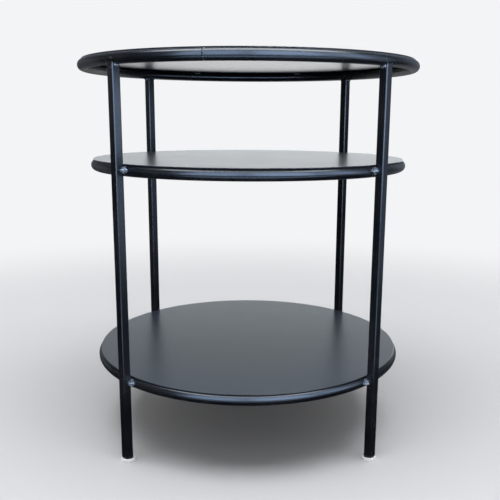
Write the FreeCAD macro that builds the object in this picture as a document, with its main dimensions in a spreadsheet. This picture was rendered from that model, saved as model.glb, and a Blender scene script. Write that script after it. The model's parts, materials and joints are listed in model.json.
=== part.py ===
import FreeCAD, Part
import math
import os
import Sketcher
from FreeCAD import Placement, Rotation, Vector

# Tiered side table: a welded steel frame with three round tiers.
# Every tier is a sheet disc on a bent ring of round tube. The top ring lies on the coped ends of four
# square tube legs, and the two lower rings are welded against the legs' inner faces.
# Millimetres, +Z up. The origin is on the floor under the middle of the table, and -Y is the front.

DIMENSIONS = [
    ("top_diameter", 500, "across the outside of the top ring"),
    ("top_height", 556, "floor to the upper face of the top disc"),
    ("mid_height", 415.5, "floor to the upper face of the middle disc"),
    ("bottom_height", 124, "floor to the upper face of the bottom disc"),
    ("ring_tube_diameter", 15, "outside of the round tube"),
    ("ring_tube_wall", 1.2, "wall of the round tube"),
    ("leg_width", 12, "outside of the square tube"),
    ("leg_wall", 1, "wall of the square tube"),
    ("leg_corner_radius", 1.5, "outer corner of the square tube"),
    ("sheet_thickness", 1.5, "discs"),
    ("top_overhang", 2, "from the top ring's centreline out to its disc's edge"),
    ("shelf_overhang", 4, "from a lower ring's centreline out to its disc's edge"),
    ("sheet_edge_radius", 0.5, "broken edge of the discs"),
    ("seam_gap", 2.4, "between the two ends of a bent ring, filled by its butt weld"),
    ("seam_crown", 0.35, "that the butt weld stands proud of the tube"),
    ("puddle_radius", 5.2, "largest weld puddle at a leg"),
    ("puddle_taper", 0.9, "that the first and last puddles are smaller"),
    ("puddle_pitch", 1.4, "between puddles of one bead"),
    ("stitch_length", 12, "of one stitch weld between disc and ring"),
    ("stitch_leg", 5, "width of a stitch weld on the disc"),
    ("stitch_root_angle", 14, "from the ring's crown to the root of a stitch weld"),
    ("stitch_toe_angle", 48, "from the ring's crown to the toe of a stitch weld"),
    ("pad_diameter", 20, "felt pads"),
    ("pad_thickness", 3, "felt pads"),
    ("pad_edge_radius", 0.7, "felt pads"),
    ("pad_inset", 1.5, "from a leg's axis to its pad's centre, towards the middle"),
    ("plug_head_thickness", 2, "the part of the plug below the tube's end"),
    ("plug_stem_length", 18, "the part of the plug inside the tube"),
    ("plug_stem_width", 7.4, "core that carries the fins"),
    ("plug_stem_wall", 1.4, "around the hollow of the stem"),
    ("plug_fin_thickness", 0.8, "each gripping fin"),
    ("plug_fin_pitch", 3.6, "between fins"),
    ("plug_fin_clearance", 0.05, "between a fin and the tube's bore"),
    ("plug_corner_radius", 0.6, "corners of the stem"),
]

LEG_ANGLES = {"rear_right": 45, "rear_left": 135, "front_left": 225, "front_right": 315}
SEAM_ANGLES = {"top": 257, "mid": 98, "bottom": 81}
FIN_COUNT = 4
STITCH_COUNT = 8
STITCH_START_ANGLE = 22.5
FULL_TURN = 360
SMALLEST_CUT = 0.01  # cubic millimetres

TUBE_RADIUS = "(sizes.ring_tube_diameter / 2)"
TUBE_BORE_RADIUS = "(sizes.ring_tube_diameter / 2 - sizes.ring_tube_wall)"
LEG_HALF = "(sizes.leg_width / 2)"
LEG_BORE = "(sizes.leg_width - 2 * sizes.leg_wall)"
LEG_BORE_CORNER = "(sizes.leg_corner_radius - sizes.leg_wall)"
LEG_FOOT = "(sizes.pad_thickness + sizes.plug_head_thickness)"
TOP_RING_RADIUS = f"(sizes.top_diameter / 2 - {TUBE_RADIUS})"
SHELF_RING_RADIUS = f"({TOP_RING_RADIUS} - {LEG_HALF} - {TUBE_RADIUS})"
LEG_PLACE = TOP_RING_RADIUS
PUDDLE_WIDTH = "(2 * sizes.puddle_radius)"
TIERS = {"top": TOP_RING_RADIUS, "mid": SHELF_RING_RADIUS, "bottom": SHELF_RING_RADIUS}
OVERHANGS = {"top": "sizes.top_overhang", "mid": "sizes.shelf_overhang", "bottom": "sizes.shelf_overhang"}

doc = FreeCAD.newDocument("tiered_side_table")
sizes = doc.addObject("Spreadsheet::Sheet", "sizes")
parts = []


def fill_sheet():
    """Write every driving dimension to the sheet as a named cell."""
    for row, (alias, number, meaning) in enumerate(DIMENSIONS, start=1):
        sizes.set(f"A{row}", alias)
        sizes.set(f"B{row}", str(number))
        sizes.set(f"C{row}", meaning)
        sizes.setAlias(f"B{row}", alias)
    doc.recompute()


def value(expression):
    """Number that an expression over the sheet gives."""
    return float(sizes.evalExpression(expression))


def sheet_underside(tier):
    """Height of a disc's underside, which is the crown of its ring."""
    return f"(sizes.{tier}_height - sizes.sheet_thickness)"


def ring_height(tier):
    """Height of a ring's centreline."""
    return f"({sheet_underside(tier)} - {TUBE_RADIUS})"


def new_body(label, turn):
    """Body of one node, turned about the table's axis."""
    body = doc.addObject("PartDesign::Body", label)
    body.Label = label
    body.AllowCompound = True
    body.Placement = Placement(Vector(0, 0, 0), Rotation(Vector(0, 0, 1), turn))
    parts.append(body)
    return body


def origin_feature(body, role):
    """Origin plane or axis of a body."""
    return next(item for item in body.Origin.OriginFeatures if item.Role == role)


def new_sketch(body, name, role, height="0"):
    """Sketch on an origin plane of its body, raised by a height."""
    sketch = body.newObject("Sketcher::SketchObject", name)
    sketch.AttachmentSupport = [(origin_feature(body, role), "")]
    sketch.MapMode = "FlatFace"
    sketch.setExpression("AttachmentOffset.Base.z", height)
    return sketch


def dimension(sketch, kind, places, name, expression):
    """Driving dimension of a sketch, bound to the sheet."""
    index = sketch.addConstraint(Sketcher.Constraint(kind, *places, value(expression)))
    sketch.renameConstraint(index, name)
    sketch.setExpression(f"Constraints.{name}", expression)


def circle(sketch, name, centre_x, centre_y, radius):
    """Circle with its centre off the sketch's axes."""
    centre = Vector(value(centre_x), value(centre_y), 0)
    index = sketch.addGeometry(Part.Circle(centre, Vector(0, 0, 1), value(radius)))
    dimension(sketch, "DistanceX", (-1, 1, index, 3), f"{name}_x", centre_x)
    dimension(sketch, "DistanceY", (-1, 1, index, 3), f"{name}_y", centre_y)
    dimension(sketch, "Radius", (index,), f"{name}_radius", radius)


def circle_on_axis(sketch, name, centre_x, radius):
    """Circle with its centre on the sketch's X axis."""
    centre = Vector(value(centre_x), 0, 0)
    index = sketch.addGeometry(Part.Circle(centre, Vector(0, 0, 1), value(radius)))
    sketch.addConstraint(Sketcher.Constraint("PointOnObject", index, 3, -1))
    dimension(sketch, "DistanceX", (-1, 1, index, 3), f"{name}_x", centre_x)
    dimension(sketch, "Radius", (index,), f"{name}_radius", radius)


def rectangle(sketch, name, length, width, centre_x):
    """Rectangle centred on the sketch's X axis."""
    half_length = value(length) / 2
    half_width = value(width) / 2
    middle = Vector(value(centre_x), 0, 0)
    corners = [
        middle + Vector(along * half_length, across * half_width, 0)
        for along, across in ((1, -1), (1, 1), (-1, 1), (-1, -1))
    ]
    sides = [
        sketch.addGeometry(Part.LineSegment(corners[index], corners[(index + 1) % 4]))
        for index in range(4)
    ]
    for index in range(4):
        following = sides[(index + 1) % 4]
        sketch.addConstraint(Sketcher.Constraint("Coincident", sides[index], 2, following, 1))
        direction = "Horizontal" if index % 2 else "Vertical"
        sketch.addConstraint(Sketcher.Constraint(direction, sides[index]))
    place_middle(sketch, name, (sides[0], 1, sides[2], 1), centre_x)
    dimension(sketch, "DistanceX", (sides[2], 1, sides[0], 1), f"{name}_length", length)
    dimension(sketch, "DistanceY", (sides[0], 1, sides[0], 2), f"{name}_width", width)


def rounded_square(sketch, name, width, corner_radius):
    """Square tube section on the leg's axis, with round corners."""
    half = value(width) / 2
    radius = value(corner_radius)
    reach = half - radius
    middle = Vector(value(LEG_PLACE), 0, 0)
    sides = []
    corners = []
    for quarter in range(4):
        spin = Rotation(Vector(0, 0, 1), 90 * quarter)
        start = middle + spin.multVec(Vector(half, -reach, 0))
        end = middle + spin.multVec(Vector(half, reach, 0))
        centre = middle + spin.multVec(Vector(reach, reach, 0))
        round_corner = Part.Circle(centre, Vector(0, 0, 1), radius)
        first = math.radians(90 * quarter)
        last = math.radians(90 * quarter + 90)
        sides.append(sketch.addGeometry(Part.LineSegment(start, end)))
        corners.append(sketch.addGeometry(Part.ArcOfCircle(round_corner, first, last)))
    for quarter in range(4):
        following = sides[(quarter + 1) % 4]
        sketch.addConstraint(Sketcher.Constraint("Tangent", sides[quarter], 2, corners[quarter], 1))
        sketch.addConstraint(Sketcher.Constraint("Tangent", corners[quarter], 2, following, 1))
        direction = "Horizontal" if quarter % 2 else "Vertical"
        sketch.addConstraint(Sketcher.Constraint(direction, sides[quarter]))
        if quarter:
            sketch.addConstraint(Sketcher.Constraint("Equal", corners[0], corners[quarter]))
    place_middle(sketch, name, (corners[0], 3, corners[2], 3), LEG_PLACE)
    dimension(sketch, "DistanceX", (sides[2], 1, sides[0], 1), f"{name}_length", width)
    dimension(sketch, "DistanceY", (sides[3], 1, sides[1], 1), f"{name}_width", width)
    dimension(sketch, "Radius", (corners[0],), f"{name}_corner", corner_radius)


def place_middle(sketch, name, opposite_points, centre_x):
    """Hold two opposite points evenly about a point on the sketch's X axis."""
    middle = sketch.addGeometry(Part.Point(Vector(value(centre_x), 0, 0)), True)
    sketch.addConstraint(Sketcher.Constraint("PointOnObject", middle, 1, -1))
    sketch.addConstraint(Sketcher.Constraint("Symmetric", *opposite_points, middle, 1))
    dimension(sketch, "DistanceX", (-1, 1, middle, 1), f"{name}_x", centre_x)


def pad(body, sketch, length):
    """Extrude a sketch upwards."""
    feature = body.newObject("PartDesign::Pad", f"{sketch.Name}_pad")
    feature.Profile = sketch
    feature.setExpression("Length", length)
    body.Tip = feature
    doc.recompute()
    return feature


def pocket(body, sketch, length):
    """Cut a sketch upwards, and make sure that it took material away."""
    before = body.Shape.Volume
    feature = body.newObject("PartDesign::Pocket", f"{sketch.Name}_pocket")
    feature.Profile = sketch
    feature.Reversed = True
    feature.setExpression("Length", length)
    body.Tip = feature
    doc.recompute()
    require_cut(body, before)
    return feature


def revolve(body, sketch, angle):
    """Turn a sketch about the table's axis, evenly to both sides."""
    feature = body.newObject("PartDesign::Revolution", f"{sketch.Name}_revolution")
    feature.Profile = sketch
    feature.ReferenceAxis = (sketch, ["V_Axis"])
    feature.Midplane = True
    feature.setExpression("Angle", angle)
    body.Tip = feature
    doc.recompute()
    return feature


def groove_ring_tube(body, tier):
    """Cut away the space that a tier's ring tube fills."""
    before = body.Shape.Volume
    sketch = new_sketch(body, f"{body.Name}_tube_section", "XZ_Plane")
    circle(sketch, "tube", TIERS[tier], ring_height(tier), TUBE_RADIUS)
    feature = body.newObject("PartDesign::Groove", f"{body.Name}_saddle")
    feature.Profile = sketch
    feature.ReferenceAxis = (sketch, ["V_Axis"])
    feature.Angle = FULL_TURN
    body.Tip = feature
    doc.recompute()
    require_cut(body, before)


def require_cut(body, volume_before):
    """Stop if a cut left its body as it was."""
    if body.Shape.Volume > volume_before - SMALLEST_CUT:
        raise ValueError(f"{body.Label}: a cut took nothing away")


def polar_pattern(body, name, originals, count):
    """Repeat features evenly about the table's axis."""
    pattern = body.newObject("PartDesign::PolarPattern", name)
    pattern.Originals = originals
    pattern.Axis = (origin_feature(body, "Z_Axis"), [""])
    pattern.Angle = FULL_TURN
    pattern.Occurrences = count
    body.Tip = pattern
    doc.recompute()
    return pattern


def fillet_circles(body, base, radius):
    """Round every circular edge of a feature."""
    names = [
        f"Edge{index}"
        for index, edge in enumerate(base.Shape.Edges, start=1)
        if isinstance(edge.Curve, Part.Circle)
    ]
    feature = body.newObject("PartDesign::Fillet", f"{body.Name}_edges")
    feature.Base = (base, names)
    feature.setExpression("Radius", radius)
    body.Tip = feature
    doc.recompute()


def seam_angle(tier):
    """Angle that the gap between a bent ring's two ends takes up."""
    return f"(sizes.seam_gap / {TIERS[tier]} * 180 / pi)"


def make_ring(tier):
    """Bent round tube, open by the seam gap."""
    body = new_body(f"{tier}_ring", SEAM_ANGLES[tier] + 180)
    sketch = new_sketch(body, f"{tier}_tube", "XZ_Plane")
    circle(sketch, "outside", TIERS[tier], ring_height(tier), TUBE_RADIUS)
    circle(sketch, "bore", TIERS[tier], ring_height(tier), TUBE_BORE_RADIUS)
    revolve(body, sketch, f"{FULL_TURN} - {seam_angle(tier)}")


def make_ring_seam(tier):
    """Butt weld that closes a ring, proud of the tube and flat under the disc."""
    body = new_body(f"{tier}_ring_seam", SEAM_ANGLES[tier])
    sketch = new_sketch(body, f"{tier}_seam", "XZ_Plane")
    circle(sketch, "bore", TIERS[tier], ring_height(tier), TUBE_BORE_RADIUS)
    outside = f"({TUBE_RADIUS} + sizes.seam_crown)"
    centre = Vector(value(TIERS[tier]), value(ring_height(tier)), 0)
    flat = math.asin(value(TUBE_RADIUS) / value(outside))
    round_face = Part.Circle(centre, Vector(0, 0, 1), value(outside))
    arc_geometry = Part.ArcOfCircle(round_face, math.pi - flat, 2 * math.pi + flat)
    chord_geometry = Part.LineSegment(arc_geometry.EndPoint, arc_geometry.StartPoint)
    arc = sketch.addGeometry(arc_geometry)
    chord = sketch.addGeometry(chord_geometry)
    sketch.addConstraint(Sketcher.Constraint("Coincident", arc, 2, chord, 1))
    sketch.addConstraint(Sketcher.Constraint("Coincident", chord, 2, arc, 1))
    sketch.addConstraint(Sketcher.Constraint("Horizontal", chord))
    dimension(sketch, "DistanceX", (-1, 1, arc, 3), "crown_x", TIERS[tier])
    dimension(sketch, "DistanceY", (-1, 1, arc, 3), "crown_y", ring_height(tier))
    dimension(sketch, "Radius", (arc,), "crown_radius", outside)
    dimension(sketch, "DistanceY", (arc, 3, chord, 1), "flat", TUBE_RADIUS)
    revolve(body, sketch, seam_angle(tier))


def make_panel(tier):
    """Sheet disc that lies on its ring."""
    body = new_body(f"{tier}_panel", 0)
    sketch = new_sketch(body, f"{tier}_disc", "XY_Plane", sheet_underside(tier))
    radius = f"({TIERS[tier]} + {OVERHANGS[tier]})"
    disc = sketch.addGeometry(Part.Circle(Vector(0, 0, 0), Vector(0, 0, 1), value(radius)))
    sketch.addConstraint(Sketcher.Constraint("Coincident", disc, 3, -1, 1))
    dimension(sketch, "Radius", (disc,), "disc_radius", radius)
    base = pad(body, sketch, "sizes.sheet_thickness")
    fillet_circles(body, base, "sizes.sheet_edge_radius")


def make_panel_welds(tier):
    """Stitch welds in the corner between a disc's underside and its ring's inner flank."""
    body = new_body(f"{tier}_panel_welds", STITCH_START_ANGLE)
    sketch = new_sketch(body, f"{tier}_stitch", "XZ_Plane")
    tube = value(TUBE_RADIUS)
    centre = Vector(value(TIERS[tier]), value(ring_height(tier)), 0)
    root_angle = math.radians(90 + value("sizes.stitch_root_angle"))
    toe_angle = math.radians(90 + value("sizes.stitch_toe_angle"))
    flank_geometry = Part.ArcOfCircle(Part.Circle(centre, Vector(0, 0, 1), tube), root_angle, toe_angle)
    root = flank_geometry.StartPoint
    toe = flank_geometry.EndPoint
    root_on_sheet = Vector(root.x, centre.y + tube, 0)
    toe_on_sheet = root_on_sheet - Vector(value("sizes.stitch_leg"), 0, 0)
    flank = sketch.addGeometry(flank_geometry)
    face = sketch.addGeometry(Part.LineSegment(toe, toe_on_sheet))
    under_sheet = sketch.addGeometry(Part.LineSegment(toe_on_sheet, root_on_sheet))
    root_wall = sketch.addGeometry(Part.LineSegment(root_on_sheet, root))
    sketch.addConstraint(Sketcher.Constraint("Coincident", flank, 2, face, 1))
    sketch.addConstraint(Sketcher.Constraint("Coincident", face, 2, under_sheet, 1))
    sketch.addConstraint(Sketcher.Constraint("Coincident", under_sheet, 2, root_wall, 1))
    sketch.addConstraint(Sketcher.Constraint("Coincident", root_wall, 2, flank, 1))
    sketch.addConstraint(Sketcher.Constraint("Horizontal", under_sheet))
    sketch.addConstraint(Sketcher.Constraint("Vertical", root_wall))
    dimension(sketch, "DistanceX", (-1, 1, flank, 3), "tube_x", TIERS[tier])
    dimension(sketch, "DistanceY", (-1, 1, flank, 3), "tube_y", ring_height(tier))
    dimension(sketch, "Radius", (flank,), "tube_radius", TUBE_RADIUS)
    dimension(sketch, "DistanceY", (flank, 3, under_sheet, 1), "sheet", TUBE_RADIUS)
    dimension(sketch, "DistanceX", (under_sheet, 1, under_sheet, 2), "leg", "sizes.stitch_leg")
    root_x = f"({TUBE_RADIUS} * sin(sizes.stitch_root_angle * 1deg))"
    toe_x = f"({TUBE_RADIUS} * sin(sizes.stitch_toe_angle * 1deg))"
    dimension(sketch, "DistanceX", (flank, 1, flank, 3), "root_x", root_x)
    dimension(sketch, "DistanceX", (flank, 2, flank, 3), "toe_x", toe_x)
    stitch = revolve(body, sketch, f"sizes.stitch_length / {TIERS[tier]} * 180 / pi")
    polar_pattern(body, f"{tier}_stitches", [stitch], STITCH_COUNT)


def make_leg(name, angle):
    """Square tube leg, coped at its top to seat under the top ring."""
    body = new_body(f"leg_{name}", angle)
    sketch = new_sketch(body, f"leg_{name}_section", "XY_Plane", LEG_FOOT)
    rounded_square(sketch, "outside", "sizes.leg_width", "sizes.leg_corner_radius")
    rounded_square(sketch, "bore", LEG_BORE, LEG_BORE_CORNER)
    pad(body, sketch, f"{ring_height('top')} - {LEG_FOOT}")
    groove_ring_tube(body, "top")


def make_leg_plug(name, angle):
    """Plastic insert that closes a leg: a head under the tube's end and a hollow stem with fins."""
    body = new_body(f"leg_plug_{name}", angle)
    head = new_sketch(body, f"plug_{name}_head", "XY_Plane", "sizes.pad_thickness")
    rounded_square(head, "head", "sizes.leg_width", "sizes.leg_corner_radius")
    pad(body, head, "sizes.plug_head_thickness")
    stem = new_sketch(body, f"plug_{name}_stem", "XY_Plane", LEG_FOOT)
    rounded_square(stem, "stem", "sizes.plug_stem_width", "sizes.plug_corner_radius")
    pad(body, stem, "sizes.plug_stem_length")
    fin_height = f"({LEG_FOOT} + sizes.plug_fin_pitch)"
    fin = new_sketch(body, f"plug_{name}_fin", "XY_Plane", fin_height)
    fin_width = f"({LEG_BORE} - 2 * sizes.plug_fin_clearance)"
    rounded_square(fin, "fin", fin_width, "sizes.plug_corner_radius")
    fin_pad = pad(body, fin, "sizes.plug_fin_thickness")
    fins = body.newObject("PartDesign::LinearPattern", f"plug_{name}_fins")
    fins.Originals = [fin_pad]
    fins.Direction = (origin_feature(body, "Z_Axis"), [""])
    fins.setExpression("Length", f"sizes.plug_fin_pitch * {FIN_COUNT - 1}")
    fins.Occurrences = FIN_COUNT
    body.Tip = fins
    doc.recompute()
    hollow = new_sketch(body, f"plug_{name}_hollow", "XY_Plane", LEG_FOOT)
    hollow_width = "(sizes.plug_stem_width - 2 * sizes.plug_stem_wall)"
    rounded_square(hollow, "hollow", hollow_width, "sizes.plug_corner_radius")
    pocket(body, hollow, "sizes.plug_stem_length")


def make_foot_pad(name, angle):
    """Round felt pad under a leg."""
    body = new_body(f"foot_pad_{name}", angle)
    sketch = new_sketch(body, f"foot_pad_{name}_disc", "XY_Plane")
    circle_on_axis(sketch, "pad", f"({LEG_PLACE} - sizes.pad_inset)", "sizes.pad_diameter / 2")
    base = pad(body, sketch, "sizes.pad_thickness")
    fillet_circles(body, base, "sizes.pad_edge_radius")


def puddle_run(tier):
    """Centres of one bead's puddles, as offsets from the ring's centreline along and across the bead.

    At the top the bead lies in the corner under the ring and runs inwards. At the shelves it stands in
    the corner between the ring's outer face and the leg's side, and runs upwards.
    """
    if tier == "top":
        return [(f"({step} * sizes.puddle_pitch)", f"(-{TUBE_RADIUS})") for step in (-1, 0, 1)]
    return [(TUBE_RADIUS, f"({step} * sizes.puddle_pitch)") for step in (-1, 0, 1)]


def make_leg_welds(tier):
    """Beads that join a ring to the legs, one on each side of every leg."""
    body = new_body(f"{tier}_leg_welds", LEG_ANGLES["rear_right"])
    puddles = []
    for index, (outward, upward) in enumerate(puddle_run(tier)):
        taper = 0 if index == 1 else 1
        puddle = body.newObject("PartDesign::AdditiveSphere", f"{tier}_puddle_{index}")
        puddle.setExpression("Radius", f"sizes.puddle_radius - {taper} * sizes.puddle_taper")
        puddle.setExpression("Placement.Base.x", f"{TIERS[tier]} + {outward}")
        puddle.setExpression("Placement.Base.y", LEG_HALF)
        puddle.setExpression("Placement.Base.z", f"{ring_height(tier)} + {upward}")
        puddles.append(puddle)
    body.Tip = puddles[-1]
    doc.recompute()
    both_sides = body.newObject("PartDesign::Mirrored", f"{tier}_both_sides")
    all_legs = body.newObject("PartDesign::PolarPattern", f"{tier}_all_legs")
    beads = body.newObject("PartDesign::MultiTransform", f"{tier}_beads")
    both_sides.MirrorPlane = (origin_feature(body, "XZ_Plane"), [""])
    all_legs.Axis = (origin_feature(body, "Z_Axis"), [""])
    all_legs.Angle = FULL_TURN
    all_legs.Occurrences = len(LEG_ANGLES)
    beads.Originals = puddles
    beads.Transformations = [both_sides, all_legs]
    body.Tip = beads
    doc.recompute()
    groove_ring_tube(body, tier)
    slot = new_sketch(body, f"{tier}_leg_slot", "XY_Plane")
    slot_length = f"(sizes.leg_width + 2 * {PUDDLE_WIDTH})"
    rectangle(slot, "slot", slot_length, "sizes.leg_width", LEG_PLACE)
    leg_space = pocket(body, slot, "sizes.top_height")
    polar_pattern(body, f"{tier}_leg_slots", [leg_space], len(LEG_ANGLES))


def check_objects():
    """Stop if any object failed, or any node's shape is empty or broken."""
    for item in doc.Objects:
        if "Invalid" in item.State or "Error" in item.State:
            raise ValueError(f"{item.Label} is {item.State}")
    for part in parts:
        if part.Shape.isNull() or not part.Shape.isValid():
            raise ValueError(f"{part.Label} has no valid shape")


def write_steps():
    """Write each node's solids to its own file."""
    os.makedirs("parts", exist_ok=True)
    for part in parts:
        part.Shape.exportStep(f"parts/{part.Label}.step")
        print(part.Label, len(part.Shape.Solids), round(part.Shape.Volume, 2))


fill_sheet()
for tier_name in TIERS:
    make_ring(tier_name)
    make_ring_seam(tier_name)
    make_panel(tier_name)
    make_panel_welds(tier_name)
    make_leg_welds(tier_name)
for leg_name, leg_angle in LEG_ANGLES.items():
    make_leg(leg_name, leg_angle)
    make_leg_plug(leg_name, leg_angle)
    make_foot_pad(leg_name, leg_angle)
doc.recompute()
check_objects()
write_steps()
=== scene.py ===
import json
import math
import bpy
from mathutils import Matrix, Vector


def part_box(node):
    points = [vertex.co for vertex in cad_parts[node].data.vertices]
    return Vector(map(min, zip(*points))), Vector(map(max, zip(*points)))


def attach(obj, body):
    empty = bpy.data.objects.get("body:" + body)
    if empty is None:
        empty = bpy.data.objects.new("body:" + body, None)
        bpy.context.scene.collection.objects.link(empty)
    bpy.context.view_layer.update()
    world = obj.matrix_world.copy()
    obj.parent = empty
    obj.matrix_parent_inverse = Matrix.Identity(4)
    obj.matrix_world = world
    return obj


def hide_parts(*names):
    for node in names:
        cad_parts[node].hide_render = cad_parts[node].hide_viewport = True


bl_info = {
    "name": "Tiered Side Table",
    "version": (1, 0, 0),
    "blender": (4, 5, 0),
    "location": "3D View > Sidebar > Side Table",
    "description": "Finish of a welded side table: coated tube and sheet, weld beads, felt pads and a studio",
    "category": "Object",
}

from collections import namedtuple

import bmesh
import bpy
from bpy.props import FloatProperty, FloatVectorProperty, IntProperty, PointerProperty
from mathutils import Matrix, Vector

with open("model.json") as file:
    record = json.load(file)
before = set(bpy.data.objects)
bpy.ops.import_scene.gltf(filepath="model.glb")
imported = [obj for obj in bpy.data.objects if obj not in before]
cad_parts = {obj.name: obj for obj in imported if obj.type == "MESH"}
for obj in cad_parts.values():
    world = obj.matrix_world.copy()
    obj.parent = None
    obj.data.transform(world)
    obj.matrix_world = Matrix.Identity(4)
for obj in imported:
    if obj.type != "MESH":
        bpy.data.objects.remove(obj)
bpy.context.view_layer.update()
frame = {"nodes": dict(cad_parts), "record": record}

MM = 0.001
BODY = "root"
TIERS = ("top", "mid", "bottom")
STITCH_COUNT = 8
STITCH_START = math.radians(22.5)
LEG_TURNS = {"rear_right": 45, "rear_left": 135, "front_left": 225, "front_right": 315}
SEAM_STEPS = 40
PAD_SEGMENTS = 96
PAD_FACE_RINGS = (0.3, 0.6, 0.8)  # rings on a pad's two faces, as shares of its radius
PAD_EDGE_STEP = math.radians(22.5)
SEEDS = {"leg": 3, "disc": 11, "seam": 19, "throw": 7, "drop": 13}  # the last two are added to a piece's own

RECORD_COLOURS = {entry["slot"]: entry["base_color"] for entry in frame["record"]["materials"]}
COAT_DEPTH = 0.45  # share of a finish's colour that isn't its gloss
GRAZING = (0.45, 0.9)  # 1 less the cosines of view between which a tube's gloss softens towards its outline
FINE_DIMPLES = 4.3  # fine dimples across a broad one
FILM_EDGE = (0.38, 0.66)  # noise at which the dust film starts and is full
SPECK_RARITY = 0.86  # share of places that hold no speck
SPECK_EDGE = (0.05, 0.13)  # core and rim of a speck, in spacings
TONE_CLOUDS = 14.0  # clouds in the coat's depth, per metre
HANDLED_PATCHES = 23.0  # patches of handled gloss, per metre
DUST_DULLING = 0.25  # roughness that dust adds
FELT_TUFTS = 900.0  # per metre
FELT_STAINS = 160.0  # per metre
STAIN_EDGE = (0.5, 0.75)  # noise at which a stain starts and is full
TUFT_SHADE = (0.3, 0.83)  # depth of the painted shade in the hollows between tufts, and its darkest value
FELT_RELIEF = 0.15 * MM
PLASTIC_RELIEF = 0.02 * MM
PLASTIC_DUST = 0.1

PUDDLE_GROWTH = 0.7  # how far a puddle may grow, as a share of how far it may shrink
SKIN_LEVEL = 0.1  # density at which the melted puddles get their skin
LUMP_MIDDLE = 0.55  # noise at which the skin keeps its place
SPATTER_SIZES = (0.45, 1.0)  # smallest and largest drop, as shares of the spatter's radius
FELT_MIDDLE = 0.62  # noise at which the felt keeps its place
FIBRE_FACES = -0.2  # lowest upward share of a face's direction that carries fibres
FIBRE_LEAN = 1.1  # most that a fibre leans each way from its face's direction
FIBRE_TIP = 0.3  # a fibre's tip as a share of its root
FIBRE_SIZES = (0.5, 1.0)  # shortest and longest fibre, as shares of the fibre's length


# ---------------------------------------------------------------- sizes read from the frame

def read_ring(tier):
    """Tube radius, centreline radius and height of a ring, and the angle of its butt weld about the table's axis."""
    low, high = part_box(f"{tier}_ring")
    tube = (high.z - low.z) / 2
    seam_low, seam_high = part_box(f"{tier}_ring_seam")
    seam = (seam_low + seam_high) / 2
    return Ring(tube, (high.x - low.x) / 2 - tube, (high.z + low.z) / 2, math.atan2(seam.y, seam.x))


Ring = namedtuple("Ring", "tube radius height seam_turn")
RINGS = {tier: read_ring(tier) for tier in TIERS}
LEG_HALF_WIDTH = RINGS["top"].radius - RINGS["mid"].radius - RINGS["mid"].tube


def around(radius, turn, height):
    """Point at a radius, an angle in radians about the table's axis and a height."""
    return Vector((radius * math.cos(turn), radius * math.sin(turn), height))


# ---------------------------------------------------------------- studio, in metres

Softbox = namedtuple("Softbox", "name place target width height share gloss_only cool")
SOFTBOXES = (
    Softbox("top_box", (0.0, -0.45, 2.3), (0.0, -0.3, 0.0), 2.6, 1.5, 1.0, False, False),
    Softbox("crown_card", (0.0, -0.2, 2.2), (0.0, -0.2, 0.0), 3.0, 0.6, 0.6, True, False),
    Softbox("left_window", (-0.8, -1.55, 1.25), (-0.8, 0.0, 1.25), 1.4, 2.1, 0.7, True, True),
    Softbox("right_window", (0.78, -1.55, 1.25), (0.78, 0.0, 1.25), 1.5, 2.1, 0.86, True, True),
    Softbox("corner_window", (1.75, -0.95, 1.3), (0.0, 0.0, 1.3), 1.0, 2.0, 0.4, True, True),
    Softbox("side_window", (1.25, -0.48, 0.8), (0.0, -0.48, 0.8), 1.05, 1.6, 0.11, True, True),
    Softbox("floor_glow", (0.2, -0.78, 0.01), (0.2, -0.78, 1.0), 1.6, 0.45, 0.32, True, True),
)
AREA_WATTS = 4.0  # watts per square metre at which an area lamp shines as strongly as an emission of 1
FLOOR_FLAG = (-1.4, 1.4, -2.6, 0.5)  # left, right, front, back
SIDE_FLAGS = {"left_flag": (-1.3, -1.2, 0.45, 0.8), "right_flag": (1.35, -0.3, 1.3, 0.8)}  # on X, front, back, top
FLAG_FADE = (0.35, 0.95)  # heights between which a side flag grows paler
FLAG_LIFT = 0.2 * MM
BACKDROP_RISE = (0.08, 0.22)  # sines of the elevations between which gloss sees the backdrop dim
BACKDROP_AIM = 0.2  # turn from straight behind the table to the backdrop's brightest part
BACKDROP_TURN = (0.2, 0.9)  # turns from there between which it dims too


# ---------------------------------------------------------------- node trees and meshes

def feed(tree, node, inputs):
    """Link sockets to a node's inputs, or set values on them."""
    for key, source in inputs.items():
        if isinstance(source, bpy.types.NodeSocket):
            tree.links.new(source, node.inputs[key])
        else:
            node.inputs[key].default_value = source


def add_node(tree, kind, inputs=None, **settings):
    """Node of a tree, with its settings and with values or sockets for its inputs."""
    node = tree.nodes.new(kind)
    for name, setting in settings.items():
        setattr(node, name, setting)
    feed(tree, node, inputs or {})
    return node


def new_group(name, kind, inputs, outputs):
    """Empty node group with sockets, given as kinds by their names, and its input and output sockets."""
    tree = bpy.data.node_groups.new(name, kind)
    for side, sockets in (("INPUT", inputs), ("OUTPUT", outputs)):
        for socket_name, socket_kind in sockets.items():
            tree.interface.new_socket(socket_name, in_out=side, socket_type=f"NodeSocket{socket_kind}")
    return tree, tree.nodes.new("NodeGroupInput").outputs, tree.nodes.new("NodeGroupOutput").inputs


def maths(tree, operation, first, second=0.0, third=0.0):
    """Result of one Math node."""
    return add_node(tree, "ShaderNodeMath", {0: first, 1: second, 2: third}, operation=operation).outputs[0]


def split(tree, vector):
    """The three numbers of a vector."""
    return add_node(tree, "ShaderNodeSeparateXYZ", {0: vector}).outputs


def ease(tree, value, span, first=0.0, last=1.0, curve="SMOOTHSTEP"):
    """Change from a first to a last number as a value passes through a span."""
    inputs = {"Value": value, "From Min": span[0], "From Max": span[1], "To Min": first, "To Max": last}
    return add_node(tree, "ShaderNodeMapRange", inputs, interpolation_type=curve).outputs[0]


def noise(tree, place, scale, detail, **inputs):
    """Values of a noise texture."""
    inputs.update(Vector=place, Scale=scale, Detail=detail)
    return add_node(tree, "ShaderNodeTexNoise", inputs).outputs["Fac"]


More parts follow.
